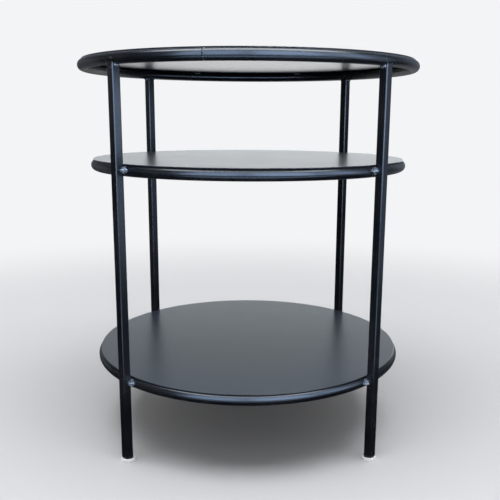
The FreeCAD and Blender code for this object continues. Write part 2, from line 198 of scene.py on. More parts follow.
def blend(tree, share, first, second):
    """Colour between two colours."""
    return add_node(
        tree, "ShaderNodeMix", {"Factor": share, "A": first, "B": second}, data_type="RGBA"
    ).outputs["Result"]


def bumped(tree, height, depth):
    """Normal of a surface with a relief of some depth."""
    return add_node(tree, "ShaderNodeBump", {"Strength": 1.0, "Distance": depth, "Height": height}).outputs["Normal"]


def mesh_object(name, shape):
    """New object at the origin from a bmesh."""
    mesh = bpy.data.meshes.new(name)
    shape.to_mesh(mesh)
    shape.free()
    return link_object(name, mesh)


def paths_object(name, paths):
    """Object whose mesh holds one open run of edges for each path of points."""
    shape = bmesh.new()
    for path in paths:
        corners = [shape.verts.new(point) for point in path]
        for start, end in zip(corners, corners[1:]):
            shape.edges.new((start, end))
    return mesh_object(name, shape)


def lathe_object(name, outline, centre, segments):
    """Round object turned from an outline of (radius, height) points between its two poles."""
    shape = bmesh.new()
    poles = [shape.verts.new(centre + Vector((0, 0, height))) for height in (outline[0][1], outline[-1][1])]
    rings = []
    for radius, height in outline:
        turns = (2 * math.pi * step / segments for step in range(segments))
        rings.append([shape.verts.new(centre + around(radius, turn, height)) for turn in turns])
    for step in range(segments):
        after = (step + 1) % segments
        shape.faces.new((poles[0], rings[0][after], rings[0][step]))
        shape.faces.new((poles[1], rings[-1][step], rings[-1][after]))
        for lower, upper in zip(rings, rings[1:]):
            shape.faces.new((lower[step], lower[after], upper[after], upper[step]))
    return mesh_object(name, shape)


def link_object(name, mesh):
    """New object at the origin that shows a mesh."""
    piece = bpy.data.objects.new(name, mesh)
    bpy.context.scene.collection.objects.link(piece)
    return piece


def grow(piece, tree, values):
    """Run a Geometry Nodes tree on a piece with named inputs, and keep the result as a plain mesh."""
    modifier = piece.modifiers.new(tree.name, "NODES")
    modifier.node_group = tree
    for item in tree.interface.items_tree:
        if item.item_type == "SOCKET" and item.in_out == "INPUT" and item.name in values:
            modifier[item.identifier] = values[item.name]
    piece.update_tag()
    graph = bpy.context.evaluated_depsgraph_get()
    mesh = bpy.data.meshes.new_from_object(piece.evaluated_get(graph))
    piece.modifiers.clear()
    piece.data = mesh
    mesh.name = piece.name
    if not mesh.polygons:
        raise RuntimeError(f"{piece.name} came out empty")
    return piece


def finish_piece(piece, node):
    """Make a grown piece stand for its CAD node."""
    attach(piece, BODY)
    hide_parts(node)


def dress_node(node, material):
    """Give a CAD node its finish and leave its shape alone."""
    slots = frame["nodes"][node].material_slots
    if not slots:
        frame["nodes"][node].data.materials.append(material)
    for slot in slots:
        slot.material = material


# ---------------------------------------------------------------- shared effects of the finishes

def orange_peel():
    """Height of the soft dimples that a baked powder coat sets with."""
    tree, entry, leave = new_group(
        "orange_peel",
        "ShaderNodeTree",
        {"Vector": "Vector", "Dimple Size": "Float", "Fine Share": "Float"},
        {"Height": "Float"},
    )
    broad_scale = maths(tree, "DIVIDE", 1.0, entry["Dimple Size"])
    broad = noise(tree, entry["Vector"], broad_scale, 1.0)
    fine = noise(tree, entry["Vector"], maths(tree, "MULTIPLY", broad_scale, FINE_DIMPLES), 2.0)
    tree.links.new(maths(tree, "MULTIPLY_ADD", fine, entry["Fine Share"], broad), leave["Height"])
    return tree


def dust_film():
    """Mask of a thin film of dust that gathers in soft patches, with a few specks."""
    tree, entry, leave = new_group(
        "dust_film",
        "ShaderNodeTree",
        {"Vector": "Vector", "Patch Size": "Float", "Speck Size": "Float"},
        {"Film": "Float", "Specks": "Float"},
    )
    patches = noise(tree, entry["Vector"], maths(tree, "DIVIDE", 1.0, entry["Patch Size"]), 4.0)
    tree.links.new(ease(tree, patches, FILM_EDGE), leave["Film"])
    speck_scale = maths(tree, "DIVIDE", 1.0, entry["Speck Size"])
    cells = add_node(tree, "ShaderNodeTexVoronoi", {"Vector": entry["Vector"], "Scale": speck_scale}).outputs
    chosen = add_node(tree, "ShaderNodeSeparateColor", {"Color": cells["Color"]})
    rare = maths(tree, "GREATER_THAN", chosen.outputs[0], SPECK_RARITY)
    near = ease(tree, cells["Distance"], SPECK_EDGE, 1.0, 0.0)
    tree.links.new(maths(tree, "MULTIPLY", rare, near), leave["Specks"])
    return tree


def coat_tone():
    """Colour of a coat whose depth drifts a little, under a film of dust."""
    tree, entry, leave = new_group(
        "coat_tone",
        "ShaderNodeTree",
        {"Vector": "Vector", "Colour": "Color", "Drift": "Float", "Dust Colour": "Color", "Dust": "Float"},
        {"Colour": "Color"},
    )
    offset = maths(tree, "SUBTRACT", noise(tree, entry["Vector"], TONE_CLOUDS, 3.0), 0.5)
    depth = maths(tree, "MULTIPLY_ADD", offset, entry["Drift"], 1.0)
    toned = add_node(tree, "ShaderNodeHueSaturation", {"Value": depth, "Color": entry["Colour"]})
    tree.links.new(blend(tree, entry["Dust"], toned.outputs["Color"], entry["Dust Colour"]), leave["Colour"])
    return tree


def satin():
    """Roughness of a satin coat: even, with handled patches that are smoother and dusty ones that are duller."""
    tree, entry, leave = new_group(
        "satin",
        "ShaderNodeTree",
        {"Vector": "Vector", "Roughness": "Float", "Spread": "Float", "Dust": "Float"},
        {"Roughness": "Float"},
    )
    offset = maths(tree, "SUBTRACT", noise(tree, entry["Vector"], HANDLED_PATCHES, 2.0), 0.5)
    even = maths(tree, "MULTIPLY_ADD", offset, entry["Spread"], entry["Roughness"])
    tree.links.new(maths(tree, "MULTIPLY_ADD", entry["Dust"], DUST_DULLING, even), leave["Roughness"])
    return tree


def new_material(name):
    """Material with its tree, shader and Object coordinates."""
    material = bpy.data.materials.new(name)
    material.use_nodes = True
    tree = material.node_tree
    tree.nodes.clear()
    shader = add_node(tree, "ShaderNodeBsdfPrincipled")
    add_node(tree, "ShaderNodeOutputMaterial", {"Surface": shader.outputs["BSDF"]})
    return material, tree, shader, add_node(tree, "ShaderNodeTexCoord").outputs["Object"]


def show(tree, surface):
    """Make a material show another shader than its own."""
    output = next(node for node in tree.nodes if node.bl_idname == "ShaderNodeOutputMaterial")
    tree.links.new(surface.outputs[0], output.inputs["Surface"])


def place_group(tree, build, inputs):
    """Outputs of a shared group placed in a material, with the group built at its first use."""
    group = bpy.data.node_groups.get(build.__name__) or build()
    return add_node(tree, "ShaderNodeGroup", inputs, node_tree=group).outputs


def powder_coat(name, colour, look, roughness, relief, bloom=0.0):
    """Satin black powder coat of a given roughness and relief, with a second gloss where it cured on flat sheet."""
    material, tree, shader, place = new_material(name)
    dust = place_group(
        tree, dust_film, {"Vector": place, "Patch Size": look.dust_patch_size, "Speck Size": look.speck_spacing}
    )
    film = maths(tree, "MULTIPLY", dust["Film"], look.dust_amount)
    dusty = maths(tree, "MULTIPLY_ADD", dust["Specks"], look.speck_strength, film)
    tone = place_group(
        tree,
        coat_tone,
        {
            "Vector": place,
            "Colour": (*colour, 1.0),
            "Drift": look.coat_drift,
            "Dust Colour": (*look.dust_colour, 1.0),
            "Dust": dusty,
        },
    )
    gloss = {"Vector": place, "Roughness": roughness, "Spread": look.gloss_spread, "Dust": dusty}
    rough = place_group(tree, satin, gloss)["Roughness"]
    if not bloom:
        facing = add_node(tree, "ShaderNodeLayerWeight", {"Blend": 0.5}).outputs["Facing"]
        rough = maths(tree, "ADD", rough, ease(tree, facing, GRAZING, 0.0, look.edge_softening))
    dimples = {"Vector": place, "Dimple Size": look.dimple_size, "Fine Share": look.fine_share}
    peel = place_group(tree, orange_peel, dimples)
    raised = maths(tree, "MULTIPLY_ADD", dust["Specks"], look.speck_height, peel["Height"])
    finish = {
        "Base Color": tone["Colour"],
        "Roughness": rough,
        "Normal": bumped(tree, raised, relief),
        "IOR": look.coat_ior,
        "Specular Tint": (*look.gloss_tint, 1.0),
        "Coat Weight": bloom,
        "Coat Roughness": look.bloom_roughness,
        "Coat IOR": look.bloom_ior,
    }
    feed(tree, shader, finish)
    return material


def pressed_felt(name, look):
    """Off-white wool felt, greyer in the hollows between its tufts as painted shade, with a soft sheen."""
    material, tree, shader, place = new_material(name)
    tufts = noise(tree, place, FELT_TUFTS, 4.0)
    stains = ease(tree, noise(tree, place, FELT_STAINS, 3.0), STAIN_EDGE, 0.0, look.felt_soil, "LINEAR")
    # The felt darkens where the tufts' relief is low: painted shade in its hollows.
    shade = maths(tree, "MULTIPLY_ADD", tufts, *TUFT_SHADE)
    toned = add_node(tree, "ShaderNodeHueSaturation", {"Value": shade, "Color": (*look.felt_colour, 1.0)})
    finish = {
        "Base Color": blend(tree, stains, toned.outputs[0], (*look.soil_colour, 1.0)),
        "Normal": bumped(tree, tufts, FELT_RELIEF),
        "Roughness": 0.95,
        "Sheen Weight": 0.35,
    }
    feed(tree, shader, finish)
    return material


def moulded_plastic(name, look):
    """Black moulded plastic with a fine spark-eroded grain."""
    material, tree, shader, place = new_material(name)
    grain = place_group(tree, orange_peel, {"Vector": place, "Dimple Size": 0.4 * MM, "Fine Share": 0.6})
    dust = place_group(tree, dust_film, {"Vector": place, "Patch Size": 12 * MM, "Speck Size": 3 * MM})
    tone = place_group(
        tree,
        coat_tone,
        {
            "Vector": place,
            "Colour": (*look.plug_colour, 1.0),
            "Drift": 0.2,
            "Dust Colour": (*look.soil_colour, 1.0),
            "Dust": maths(tree, "MULTIPLY", dust["Film"], PLASTIC_DUST),
        },
    )
    gloss = place_group(tree, satin, {"Vector": place, "Roughness": 0.5, "Spread": 0.1, "Dust": dust["Specks"]})
    finish = {
        "Base Color": tone["Colour"],
        "Roughness": gloss["Roughness"],
        "Normal": bumped(tree, grain["Height"], PLASTIC_RELIEF),
    }
    feed(tree, shader, finish)
    return material


# ---------------------------------------------------------------- geometry node trees

def random_between(tree, low, high, seed, vectors=False):
    """Random numbers or vectors between two limits."""
    kind, first, result = ("FLOAT_VECTOR", 0, 0) if vectors else ("FLOAT", 2, 1)
    inputs = {first: low, first + 1: high, "Seed": seed}
    return add_node(tree, "FunctionNodeRandomValue", inputs, data_type=kind).outputs[result]


def scaled(tree, vector, factor):
    """Vector times a number."""
    return add_node(tree, "ShaderNodeVectorMath", {0: vector, "Scale": factor}, operation="SCALE").outputs[0]


def moved(tree, geometry, **place):
    """Geometry moved by an Offset or to a Position."""
    return add_node(tree, "GeometryNodeSetPosition", {"Geometry": geometry, **place}).outputs[0]


def turned_along(tree, direction):
    """Rotation that points a thing's Z along a direction."""
    return add_node(tree, "FunctionNodeAlignRotationToVector", {"Vector": direction}, axis="Z").outputs[0]


def realized(tree, geometry):
    """Geometry with its instances made real."""
    return add_node(tree, "GeometryNodeRealizeInstances", {"Geometry": geometry}).outputs[0]


def swelling(tree, geometry, lump_size, detail, middle, height, **texture):
    """Geometry pushed in and out along its normals by noise of a lump size and height."""
    place = add_node(tree, "GeometryNodeInputPosition").outputs[0]
    normal = add_node(tree, "GeometryNodeInputNormal").outputs[0]
    lumps = noise(tree, place, maths(tree, "DIVIDE", 1.0, lump_size), detail, **texture)
    swell = maths(tree, "MULTIPLY", maths(tree, "SUBTRACT", lumps, middle), height)
    return moved(tree, geometry, Offset=scaled(tree, normal, swell))


def joined(tree, *parts):
    """Geometry of several parts together."""
    both = add_node(tree, "GeometryNodeJoinGeometry")
    for part in parts:
        tree.links.new(part, both.inputs[0])
    return both.outputs[0]


def smoothed(tree, geometry):
    """Geometry with smooth faces."""
    return add_node(tree, "GeometryNodeSetShadeSmooth", {"Geometry": geometry}).outputs[0]


def close_tree(tree, geometry, material, leave):
    """End a tree in realized instances with one material."""
    inputs = {"Geometry": realized(tree, geometry), "Material": material}
    tree.links.new(add_node(tree, "GeometryNodeSetMaterial", inputs).outputs[0], leave)


def weld_bead():
    """Beads of overlapping puddles along the input's runs of edges, with spatter on the steel around them."""
    puddles = ("Puddle Radius", "Puddle Pitch", "Puddle Depth", "Taper", "Wobble", "Lumpiness", "Lump Size", "Voxel")
    tree, entry, leave = new_group(
        "weld_bead",
        "GeometryNodeTree",
        {
            "Runs": "Geometry",
            **dict.fromkeys(puddles, "Float"),
            "Spatter Count": "Int",
            "Spatter Reach": "Float",
            "Spatter Radius": "Float",
            "Steel": "Collection",
            "Material": "Material",
            "Seed": "Int",
        },
        {"Beads": "Geometry"},
    )
    run = add_node(tree, "GeometryNodeMeshToCurve", {"Mesh": entry["Runs"]}).outputs["Curve"]
    pitch = {"Curve": run, "Length": entry["Puddle Pitch"]}
    spaced = add_node(tree, "GeometryNodeResampleCurve", pitch, mode="LENGTH").outputs["Curve"]
    along = add_node(tree, "GeometryNodeSplineParameter").outputs["Factor"]
    centred = maths(tree, "MULTIPLY_ADD", along, 2.0, -1.0)
    taper = maths(tree, "MULTIPLY", maths(tree, "MULTIPLY", centred, centred), entry["Taper"])
    size = maths(tree, "MULTIPLY", entry["Puddle Radius"], maths(tree, "SUBTRACT", 1.0, taper))
    least = maths(tree, "SUBTRACT", 1.0, entry["Wobble"])
    most = maths(tree, "MULTIPLY_ADD", entry["Wobble"], PUDDLE_GROWTH, 1.0)
    wide = maths(tree, "MULTIPLY", size, random_between(tree, least, most, entry["Seed"]))
    deep = maths(tree, "MULTIPLY", wide, entry["Puddle Depth"])
    tangent = add_node(tree, "GeometryNodeInputTangent").outputs[0]
    puddle = add_node(tree, "GeometryNodeMeshIcoSphere", {"Radius": 1.0, "Subdivisions": 4})
    heap = add_node(
        tree,
        "GeometryNodeInstanceOnPoints",
        {
            "Points": spaced,
            "Instance": puddle.outputs["Mesh"],
            "Rotation": turned_along(tree, tangent),
            "Scale": add_node(tree, "ShaderNodeCombineXYZ", {0: wide, 1: wide, 2: deep}).outputs[0],
        },
    )
    heaped = {"Mesh": realized(tree, heap.outputs["Instances"]), "Voxel Size": entry["Voxel"]}
    melt = add_node(tree, "GeometryNodeMeshToVolume", heaped, resolution_mode="VOXEL_SIZE").outputs["Volume"]
    skinned = {"Volume": melt, "Voxel Size": entry["Voxel"], "Threshold": SKIN_LEVEL}
    skin = add_node(tree, "GeometryNodeVolumeToMesh", skinned, resolution_mode="VOXEL_SIZE").outputs["Mesh"]
    lumpy = swelling(tree, skin, entry["Lump Size"], 2.0, LUMP_MIDDLE, entry["Lumpiness"], Roughness=0.6)
    bead = smoothed(tree, joined(tree, lumpy, spatter(tree, entry, spaced)))
    close_tree(tree, bead, entry["Material"], leave["Beads"])
    return tree


def spatter(tree, entry, runs):
    """Small frozen drops thrown from the beads, each pulled onto the nearest steel."""
    points = add_node(tree, "GeometryNodeCurveToPoints", {"Curve": runs}, mode="EVALUATED").outputs["Points"]
    thrown = {"Geometry": points, "Amount": entry["Spatter Count"]}
    many = add_node(tree, "GeometryNodeDuplicateElements", thrown, domain="POINT").outputs["Geometry"]
    reach = add_node(tree, "ShaderNodeCombineXYZ", {axis: entry["Spatter Reach"] for axis in range(3)}).outputs[0]
    throw_seed = maths(tree, "ADD", entry["Seed"], SEEDS["throw"])
    flight = random_between(tree, scaled(tree, reach, -1.0), reach, throw_seed, vectors=True)
    steel = add_node(tree, "GeometryNodeCollectionInfo", {"Collection": entry["Steel"]}).outputs[0]
    solid = {"Geometry": realized(tree, steel)}
    surface = add_node(tree, "GeometryNodeProximity", solid, target_element="FACES").outputs["Position"]
    size_share = random_between(tree, *SPATTER_SIZES, maths(tree, "ADD", entry["Seed"], SEEDS["drop"]))
    drop = add_node(tree, "GeometryNodeMeshIcoSphere", {"Radius": 1.0, "Subdivisions": 2})
    drops = add_node(
        tree,
        "GeometryNodeInstanceOnPoints",
        {
            "Points": moved(tree, moved(tree, many, Offset=flight), Position=surface),
            "Instance": drop.outputs["Mesh"],
            "Scale": maths(tree, "MULTIPLY", size_share, entry["Spatter Radius"]),
        },
    )
    return drops.outputs["Instances"]


def felt_nap():
    """Uneven pressed felt with loose fibres that stand out of its face and edge, none below the floor."""
    numbers = ("Unevenness", "Tuft Size", "Fibre Length", "Fibre Radius", "Fibres")
    tree, entry, leave = new_group(
        "felt_nap",
        "GeometryNodeTree",
        {"Disc": "Geometry", **dict.fromkeys(numbers, "Float"), "Material": "Material", "Seed": "Int"},
        {"Pad": "Geometry"},
    )
    uneven = swelling(tree, entry["Disc"], entry["Tuft Size"], 3.0, FELT_MIDDLE, entry["Unevenness"])
    normal = add_node(tree, "GeometryNodeInputNormal").outputs[0]
    upward = {0: split(tree, normal)[2], 1: FIBRE_FACES}
    exposed = add_node(tree, "FunctionNodeCompare", upward, data_type="FLOAT", operation="GREATER_THAN").outputs[0]
    scatter = add_node(
        tree,
        "GeometryNodeDistributePointsOnFaces",
        {"Mesh": uneven, "Selection": exposed, "Density": entry["Fibres"], "Seed": entry["Seed"]},
    )
    tilt = random_between(tree, (-FIBRE_LEAN,) * 3, (FIBRE_LEAN,) * 3, entry["Seed"], vectors=True)
    leaning = {0: scatter.outputs["Normal"], 1: tilt}
    lean = add_node(tree, "ShaderNodeVectorMath", leaning, operation="ADD").outputs[0]
    fibre = add_node(
        tree,
        "GeometryNodeMeshCone",
        {
            "Vertices": 3,
            "Radius Top": maths(tree, "MULTIPLY", entry["Fibre Radius"], FIBRE_TIP),
            "Radius Bottom": entry["Fibre Radius"],
            "Depth": entry["Fibre Length"],
        },
    )
    nap = add_node(
        tree,
        "GeometryNodeInstanceOnPoints",
        {
            "Points": scatter.outputs["Points"],
            "Instance": fibre.outputs["Mesh"],
            "Rotation": turned_along(tree, lean),
            "Scale": random_between(tree, *FIBRE_SIZES, entry["Seed"]),
        },
    )
    whole = realized(tree, joined(tree, smoothed(tree, uneven), nap.outputs[0]))
    x, y, z = split(tree, add_node(tree, "GeometryNodeInputPosition").outputs[0])
    lifted = add_node(tree, "ShaderNodeCombineXYZ", {0: x, 1: y, 2: maths(tree, "MAXIMUM", z, 0.0)}).outputs[0]
    close_tree(tree, moved(tree, whole, Position=lifted), entry["Material"], leave["Pad"])
    return tree


# ---------------------------------------------------------------- sizes and colours a user changes

class CoatLook(bpy.types.PropertyGroup):
    """Finish of the powder coat on tube, disc and weld."""

    colour: FloatVectorProperty(
        name="Coat Colour",
        description="Colour of the coat on tube",
        subtype="COLOR",
        default=[COAT_DEPTH * channel for channel in RECORD_COLOURS["powder_coated_steel"]],
    )
    # Lighter and bluer than the same coat on the tube: the discs' own coat colour plus a painted bluish sheen that
    # stands in for reflected light.
    sheet_colour: FloatVectorProperty(
        name="Disc Colour", description="Colour of the coat on disc", subtype="COLOR", default=(0.017, 0.024, 0.043)
    )
    coat_ior: FloatProperty(name="Coat IOR", description="Refraction of the resin", default=1.5, min=1.0)
    gloss_tint: FloatVectorProperty(
        name="Gloss Tint", description="Colour of the coat's gloss", subtype="COLOR", default=(0.84, 0.92, 1.0)
    )
    bloom: FloatProperty(name="Disc Bloom", description="Second gloss of the discs, seen along them", default=1.0)
    bloom_roughness: FloatProperty(name="Bloom Roughness", description="Spread of that gloss", default=0.34)
    bloom_ior: FloatProperty(name="Bloom IOR", description="Refraction of that gloss", default=1.5, min=1.0)
    tube_roughness: FloatProperty(name="Tube Roughness", description="Satin of the tubes", default=0.25)
    edge_softening: FloatProperty(name="Edge Softening", description="Extra satin along a tube's outline", default=0.38)
    sheet_roughness: FloatProperty(name="Disc Roughness", description="Satin of the discs", default=0.34)
    weld_roughness: FloatProperty(name="Weld Roughness", description="Satin over the welds", default=0.2)
    # Much lighter than the coat on the tube: a painted highlight that stands in for the glints on the welds' lumps.
    weld_colour: FloatVectorProperty(
        name="Weld Colour", description="Colour of the coat on weld", subtype="COLOR", default=(0.085, 0.092, 0.108)
    )
    weld_ior: FloatProperty(name="Weld IOR", description="Refraction that gives the welds' gloss", default=2.1, min=1.0)
    gloss_spread: FloatProperty(name="Gloss Spread", description="How far the gloss drifts", default=0.08)
    coat_drift: FloatProperty(name="Coat Drift", description="How far the colour drifts", default=0.35)
    dimple_size: FloatProperty(
        name="Dimple Size", description="Width of the coat's dimples", subtype="DISTANCE", default=1.6 * MM
    )
    fine_share: FloatProperty(name="Fine Share", description="Depth of the fine grain", default=0.22)
    tube_relief: FloatProperty(
        name="Tube Relief", description="Depth of the dimples on tube", subtype="DISTANCE", default=0.03 * MM
    )
    sheet_relief: FloatProperty(
        name="Disc Relief", description="Depth of the dimples on the discs", subtype="DISTANCE", default=0.025 * MM
    )
    weld_relief: FloatProperty(
        name="Weld Relief", description="Depth of the dimples on welds", subtype="DISTANCE", default=0.09 * MM
    )
    dust_colour: FloatVectorProperty(
        name="Dust Colour", description="Colour of settled dust", subtype="COLOR", default=(0.12, 0.12, 0.115)
    )
    dust_amount: FloatProperty(name="Dust", description="Strength of the dust film", default=0.06)
    dust_patch_size: FloatProperty(
        name="Dust Patches", description="Width of the dust's patches", subtype="DISTANCE", default=90 * MM
    )
    speck_spacing: FloatProperty(
        name="Speck Spacing", description="Distance between specks", subtype="DISTANCE", default=5 * MM
    )
    speck_strength: FloatProperty(name="Speck Strength", description="Paleness of the specks", default=0.2)
    speck_height: FloatProperty(name="Speck Height", description="Height of the specks in dimples", default=2.0)


class WeldLook(bpy.types.PropertyGroup):
    """Weld beads and the spatter around them."""

    radius: FloatProperty(
        name="Bead Radius", description="Largest puddle at a leg", subtype="DISTANCE", default=6.4 * MM
    )
    top_radius: FloatProperty(
        name="Top Bead Radius", description="The same under the top ring", subtype="DISTANCE", default=3.8 * MM
    )
    rise: FloatProperty(
        name="Bead Rise", description="Bead above the middle of a shelf ring", subtype="DISTANCE", default=1.5 * MM
    )
    offset: FloatProperty(
        name="Bead Offset", description="Bead beside the corner of the leg", subtype="DISTANCE", default=0.9 * MM
    )
    run: FloatProperty(
        name="Bead Run", description="First to last puddle at a leg", subtype="DISTANCE", default=6.0 * MM
    )
    pitch: FloatProperty(name="Puddle Pitch", description="Between puddles", subtype="DISTANCE", default=1.4 * MM)
    depth: FloatProperty(name="Puddle Depth", description="Share of a puddle's width along the bead", default=0.5)
    taper: FloatProperty(name="Taper", description="Share by which the end puddles are smaller", default=0.3)
    wobble: FloatProperty(name="Wobble", description="Share by which puddles differ in size", default=0.14)
    lumpiness: FloatProperty(
        name="Lumpiness", description="Height of the bead's lumps", subtype="DISTANCE", default=3.4 * MM
    )
    lump_size: FloatProperty(
        name="Lump Size", description="Width of the bead's lumps", subtype="DISTANCE", default=2.5 * MM
    )
    voxel: FloatProperty(name="Voxel", description="Fineness of the bead's skin", subtype="DISTANCE", default=0.34 * MM)
    stitch_radius: FloatProperty(
        name="Stitch Radius", description="Puddle of a stitch weld", subtype="DISTANCE", default=2.0 * MM
    )
    stitch_run: FloatProperty(
        name="Stitch Run", description="First to last puddle of a stitch", subtype="DISTANCE", default=9 * MM
    )
    stitch_inset: FloatProperty(
        name="Stitch Inset", description="From the ring's line in to the bead", subtype="DISTANCE", default=4.7 * MM
    )
    stitch_drop: FloatProperty(
        name="Stitch Drop", description="From the disc down to the bead", subtype="DISTANCE", default=1.6 * MM
    )
    stitch_lumpiness: FloatProperty(
        name="Stitch Lumpiness", description="Height of a stitch's lumps", subtype="DISTANCE", default=0.6 * MM
    )
    seam_radius: FloatProperty(
        name="Seam Radius", description="Puddle of a ring's butt weld", subtype="DISTANCE", default=4.5 * MM
    )
    seam_crown: FloatProperty(
        name="Seam Crown", description="Butt weld proud of the tube", subtype="DISTANCE", default=0.1 * MM
    )
    seam_opening: FloatProperty(
        name="Seam Opening", description="Half the turn left open under the disc", subtype="ANGLE", default=0.24
    )
    seam_lumpiness: FloatProperty(
        name="Seam Lumpiness", description="Height of the butt weld's lumps", subtype="DISTANCE", default=0.06 * MM
    )
    seam_wobble: FloatProperty(name="Seam Wobble", description="The same share in a butt weld", default=0.01)
    seam_spatter_reach: FloatProperty(
        name="Seam Spatter Reach", description="Farthest drop from a seam", subtype="DISTANCE", default=5 * MM
    )
    spatter_count: IntProperty(name="Spatter", description="Drops thrown by each puddle", default=4)
    spatter_reach: FloatProperty(
        name="Spatter Reach", description="Farthest drop from its bead", subtype="DISTANCE", default=9 * MM
    )
    spatter_radius: FloatProperty(
        name="Spatter Radius", description="Largest drop", subtype="DISTANCE", default=0.45 * MM
    )


class FootLook(bpy.types.PropertyGroup):
    """Felt pads and the plugs that carry them."""

    felt_colour: FloatVectorProperty(
        name="Felt Colour", description="Colour of the felt", subtype="COLOR", default=(0.93, 0.92, 0.9)
    )
    soil_colour: FloatVectorProperty(
        name="Soil Colour", description="Colour of trodden dirt", subtype="COLOR", default=(0.2, 0.18, 0.15)
    )
    felt_soil: FloatProperty(name="Felt Soil", description="Strength of the dirt", default=0.2)
    edge_radius: FloatProperty(
        name="Edge Radius", description="Round of the pad's edges", subtype="DISTANCE", default=0.9 * MM
    )
    rim: FloatProperty(
        name="Rim", description="Rim of the pad above the pressed middle", subtype="DISTANCE", default=2.4 * MM
    )
    unevenness: FloatProperty(
        name="Unevenness", description="Depth of the felt's hollows", subtype="DISTANCE", default=0.5 * MM
    )
    tuft_size: FloatProperty(
        name="Tuft Size", description="Width of the felt's tufts", subtype="DISTANCE", default=2.4 * MM
    )
    fibre_length: FloatProperty(
        name="Fibre Length", description="Longest loose fibre", subtype="DISTANCE", default=1.1 * MM
    )
    fibre_radius: FloatProperty(
        name="Fibre Radius", description="Thickness of a loose fibre", subtype="DISTANCE", default=0.03 * MM
    )
    fibres: FloatProperty(name="Fibres", description="Loose fibres per square metre", default=2.2e6)
    plug_colour: FloatVectorProperty(
        name="Plug Colour", description="Colour of the plugs", subtype="COLOR", default=RECORD_COLOURS["plug_plastic"]
    )


class StageLook(bpy.types.PropertyGroup):
    """Floor, light and camera."""

    floor_colour: FloatVectorProperty(
        name="Floor Colour", description="Colour of the floor", subtype="COLOR", default=(0.62, 0.62, 0.625)
    )
    backdrop_colour: FloatVectorProperty(
        name="Backdrop Colour", description="Colour behind the table", subtype="COLOR", default=(0.9, 0.905, 0.92)
    )
    floor_reach: FloatProperty(
        name="Floor Reach", description="Half the floor's width", subtype="DISTANCE", default=60.0
    )
    fade_start: FloatProperty(
        name="Fade Start", description="Where the floor starts to fade", subtype="DISTANCE", default=0.4
    )
    fade_end: FloatProperty(
        name="Fade End", description="Where the floor is all backdrop", subtype="DISTANCE", default=1.8
    )
    dome: FloatProperty(name="Dome", description="Strength of the light from all round", default=0.5)
    top_strength: FloatProperty(
        name="Top Box", description="Strength of the softbox that lights the table", default=4.0
    )
    top_colour: FloatVectorProperty(
        name="Top Colour", description="Colour of the top softbox", subtype="COLOR", default=(0.94, 0.96, 1.0)
    )
    window_strength: FloatProperty(
        name="Window Cards", description="Strength of the cards that only gloss shows", default=8.0
    )
    window_colour: FloatVectorProperty(
        name="Window Colour", description="Colour of the front cards", subtype="COLOR", default=(0.58, 0.73, 1.0)
    )
    gloss_gain: FloatProperty(name="Back Gloss", description="Backdrop's strength in gloss", default=2.72)
    side_gloss: FloatProperty(name="Side Gloss", description="The same at the table's sides", default=0.58)
    high_gloss: FloatProperty(name="High Gloss", description="Share of it high up", default=0.122)
    high_colour: FloatVectorProperty(
        name="High Colour", description="Backdrop's colour in gloss high up", subtype="COLOR", default=(0.78, 0.92, 1.0)
    )
    floor_gloss: FloatProperty(name="Floor Gloss", description="Share of it on the far floor", default=0.55)
    flag_top: FloatProperty(name="Flag Top", description="Strength of the side cards' tops in gloss", default=0.45)
    flag_shade: FloatProperty(
        name="Flag Shade", description="Paleness of the dark cards that only gloss shows", default=0.012
    )
    camera_distance: FloatProperty(
        name="Camera Distance", description="Camera in front of the axis", subtype="DISTANCE", default=1059.56 * MM
    )
    camera_height: FloatProperty(
        name="Camera Height", description="Camera above the floor", subtype="DISTANCE", default=476.19 * MM
    )
    camera_pitch: FloatProperty(name="Camera Pitch", description="Downward tilt", subtype="ANGLE", default=0.2091)
    camera_pan: FloatProperty(name="Camera Pan", description="Turn to the right", subtype="ANGLE", default=0.0088)
    camera_roll: FloatProperty(name="Camera Roll", description="Roll about the view", subtype="ANGLE", default=0.0049)
    camera_orbit: FloatProperty(
        name="Camera Orbit", description="Turn about the table's axis", subtype="ANGLE", default=-0.0105
    )
    camera_lens: FloatProperty(name="Lens", description="Focal length in millimetres", default=49.03)
    camera_shift: FloatVectorProperty(
        name="Shift", description="Shares of the frame that it is shifted by", size=2, default=(-0.0081, 0.0226)
    )


# ---------------------------------------------------------------- operators

class SIDETABLE_OT_coat_steel(bpy.types.Operator):
    """Give the tube rings, the legs and the discs their powder coat"""

    bl_idname = "side_table.coat_steel"
    bl_label = "Coat Steel"

    def execute(self, context):
        look = context.scene.side_table_coat
        tube = powder_coat("powder_coated_steel", look.colour, look, look.tube_roughness, look.tube_relief)
        # The discs take that lighter, bluer colour, which holds a painted sheen.
        sheet = powder_coat(
            "powder_coated_sheet", look.sheet_colour, look, look.sheet_roughness, look.sheet_relief, look.bloom
        )
        for tier in TIERS:
            dress_node(f"{tier}_ring", tube)
            dress_node(f"{tier}_panel", sheet)
        for leg in LEG_TURNS:
            dress_node(f"leg_{leg}", tube)
        return {"FINISHED"}


def weld_material(look):
    """Coat over the welds, shared by every bead."""
    name = "powder_coated_weld_look"
    made = bpy.data.materials.get(name)
    if made:
        return made
    # The welds' pale colour is a painted highlight.
    material = powder_coat(name, look.weld_colour, look, look.weld_roughness, look.weld_relief)
    material.node_tree.nodes["Principled BSDF"].inputs["IOR"].default_value = look.weld_ior
    return material


